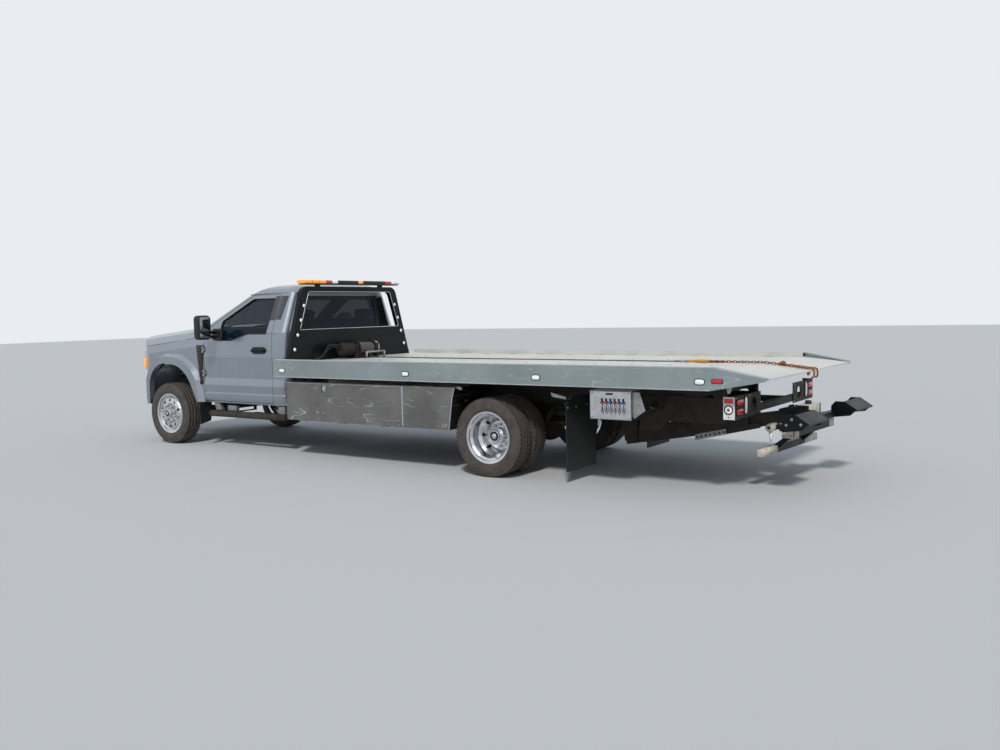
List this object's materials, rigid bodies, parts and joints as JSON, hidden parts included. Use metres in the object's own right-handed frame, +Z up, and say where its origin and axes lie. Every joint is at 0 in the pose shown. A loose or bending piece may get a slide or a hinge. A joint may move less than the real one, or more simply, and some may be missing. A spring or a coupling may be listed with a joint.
{
  "type": "flatbed tow truck",
  "caption": "Regular cab truck with a sliding, tilting steel carrier bed, headboard, toolboxes and a rear wheel lift.",
  "frame": {"origin": "on the ground under the middle of the whole truck's length and width", "axes": "+X forward, +Y to the driver's side (left), +Z up"},
  "size_m": [9.3994, 2.696, 2.066],
  "materials": {
    "silver_paint": "metallic clear coat",
    "black_paint": "gloss",
    "frame_black": "satin",
    "galvanised_steel": "hot-dip galvanised",
    "polished_aluminium": "polished",
    "tyre_rubber": "dusty",
    "black_plastic": "grained",
    "dark_glass": "clear tint",
    "lamp_lens": "moulded lens",
    "seat_cloth": "woven",
    "cast_steel": "as cast",
    "tread_plate": "polished, scratched",
    "flap_rubber": "matt",
    "rusty_chain": "rusted",
    "chrome_trim": "bright"
  },
  "bodies": {
    "chassis": {"bench_seat": "seat_cloth", "cab_glass": "dark_glass", "cab_shell": "silver_paint", "control_boxes": "tread_plate", "dashboard": "black_plastic", "drive_shaft": "cast_steel", "engine_block": "cast_steel", "frame_rails": "frame_black", "front_axle": "cast_steel", "front_bumper": "chrome_trim", "front_clip": "silver_paint", "front_mudflaps": "flap_rubber", "fuel_tank": "frame_black", "grille": "chrome_trim", "headlamps": "lamp_lens", "left_toolbox": "tread_plate", "lift_mount": "frame_black", "rear_axle": "cast_steel", "rear_mudflaps": "flap_rubber", "right_toolbox": "tread_plate", "side_steps": "frame_black", "tail_lamps": "lamp_lens", "tail_panel": "frame_black"},
    "hood": {"hood": "silver_paint"},
    "left_door": {"left_door": "silver_paint", "left_door_glass": "dark_glass", "left_mirror": "black_plastic"},
    "right_door": {"right_door": "silver_paint", "right_door_glass": "dark_glass", "right_mirror": "black_plastic"},
    "left_knuckle": {"left_knuckle": "cast_steel"},
    "right_knuckle": {"right_knuckle": "cast_steel"},
    "left_front_wheel": {"left_front_tyre": "tyre_rubber", "left_front_rim": "polished_aluminium"},
    "right_front_wheel": {"right_front_tyre": "tyre_rubber", "right_front_rim": "polished_aluminium"},
    "left_rear_wheels": {"left_rear_tyres": "tyre_rubber", "left_rear_rims": "polished_aluminium"},
    "right_rear_wheels": {"right_rear_tyres": "tyre_rubber", "right_rear_rims": "polished_aluminium"},
    "left_toolbox_door": {"left_toolbox_door": "tread_plate"},
    "right_toolbox_door": {"right_toolbox_door": "tread_plate"},
    "tilt_frame": {"tilt_frame": "frame_black"},
    "bed": {"bed_deck": "galvanised_steel", "bed_rails": "galvanised_steel", "marker_lamps": "lamp_lens", "headboard": "black_paint", "light_bar": "lamp_lens", "winch": "frame_black", "winch_line": "rusty_chain"},
    "tilt_barrels": {"tilt_barrels": "frame_black"},
    "tilt_rods": {"tilt_rods": "frame_black"},
    "lift_boom": {"lift_boom": "frame_black"},
    "lift_stinger": {"lift_stinger": "frame_black"},
    "lift_crossbar": {"lift_crossbar": "frame_black", "wheel_cradles": "frame_black"}
  },
  "joints": [
    {"name": "hood_hinge", "type": "hinge", "parent": "chassis", "child": "hood", "pos_m": [3.02968, 0, 1.52], "axis": [0, -1, 0], "range_deg": [0, 48]},
    {"name": "left_door_hinge", "type": "hinge", "parent": "chassis", "child": "left_door", "pos_m": [3.03568, 1.028, 0.8], "axis": [0, 0, -1], "range_deg": [0, 65]},
    {"name": "left_toolbox_hinge", "type": "hinge", "parent": "chassis", "child": "left_toolbox_door", "pos_m": [1.33968, 1.2, 0.45], "axis": [-1, 0, 0], "range_deg": [0, 92]},
    {"name": "left_steering", "type": "hinge", "parent": "chassis", "child": "left_knuckle", "pos_m": [3.72968, 0.77, 0.4], "axis": [0, 0, 1], "range_deg": [-30, 30]},
    {"name": "left_front_wheel_spin", "type": "hinge", "parent": "left_knuckle", "child": "left_front_wheel", "pos_m": [3.72968, 0.95, 0.4], "axis": [0, 1, 0], "continuous": true},
    {"name": "left_rear_wheel_spin", "type": "hinge", "parent": "chassis", "child": "left_rear_wheels", "pos_m": [-1.48532, 0.941, 0.4], "axis": [0, 1, 0], "continuous": true},
    {"name": "right_door_hinge", "type": "hinge", "parent": "chassis", "child": "right_door", "pos_m": [3.03568, -1.028, 0.8], "axis": [0, 0, 1], "range_deg": [0, 65]},
    {"name": "right_toolbox_hinge", "type": "hinge", "parent": "chassis", "child": "right_toolbox_door", "pos_m": [1.33968, -1.2, 0.45], "axis": [1, 0, 0], "range_deg": [0, 92]},
    {"name": "right_steering", "type": "hinge", "parent": "chassis", "child": "right_knuckle", "pos_m": [3.72968, -0.77, 0.4], "axis": [0, 0, 1], "range_deg": [-30, 30]},
    {"name": "right_front_wheel_spin", "type": "hinge", "parent": "right_knuckle", "child": "right_front_wheel", "pos_m": [3.72968, -0.95, 0.4], "axis": [0, 1, 0], "continuous": true},
    {"name": "right_rear_wheel_spin", "type": "hinge", "parent": "chassis", "child": "right_rear_wheels", "pos_m": [-1.48532, -0.941, 0.4], "axis": [0, 1, 0], "continuous": true},
    {"name": "bed_tilt", "type": "hinge", "parent": "chassis", "child": "tilt_frame", "pos_m": [-3.62032, 0, 0.78], "axis": [0, -1, 0], "range_deg": [0, 15.5]},
    {"name": "bed_slide", "type": "slide", "parent": "tilt_frame", "child": "bed", "axis": [-1, 0, 0], "range_m": [0, 3.1]},
    {"name": "tilt_barrel_swing", "type": "hinge", "parent": "chassis", "child": "tilt_barrels", "pos_m": [-2.12032, 0, 0.32], "axis": [0, -1, 0], "range_deg": [-20, 20]},
    {"name": "tilt_rod_stroke", "type": "slide", "parent": "tilt_barrels", "child": "tilt_rods", "axis": [-0.2132, 0, 0.977], "range_m": [0, 0.3764]},
    {"name": "lift_lower", "type": "hinge", "parent": "chassis", "child": "lift_boom", "pos_m": [-2.53532, 0, 0.35], "axis": [0, -1, 0], "range_deg": [0, 7.5]},
    {"name": "lift_reach", "type": "slide", "parent": "lift_boom", "child": "lift_stinger", "axis": [-0.986, 0, 0.1668], "range_m": [0, 0.5]},
    {"name": "crossbar_swivel", "type": "hinge", "parent": "lift_stinger", "child": "lift_crossbar", "pos_m": [-4.15235, 0, 0.6235], "axis": [0.1668, 0, 0.986], "range_deg": [-6, 12]}
  ],
  "couplings": [
    {"joint": "right_steering", "follows": "left_steering", "ratio": 1},
    {"joint": "tilt_barrel_swing", "follows": "bed_tilt", "ratio": -0.05625},
    {"joint": "tilt_rod_stroke", "follows": "bed_tilt", "m_per_rad": 1.3766}
  ]
}
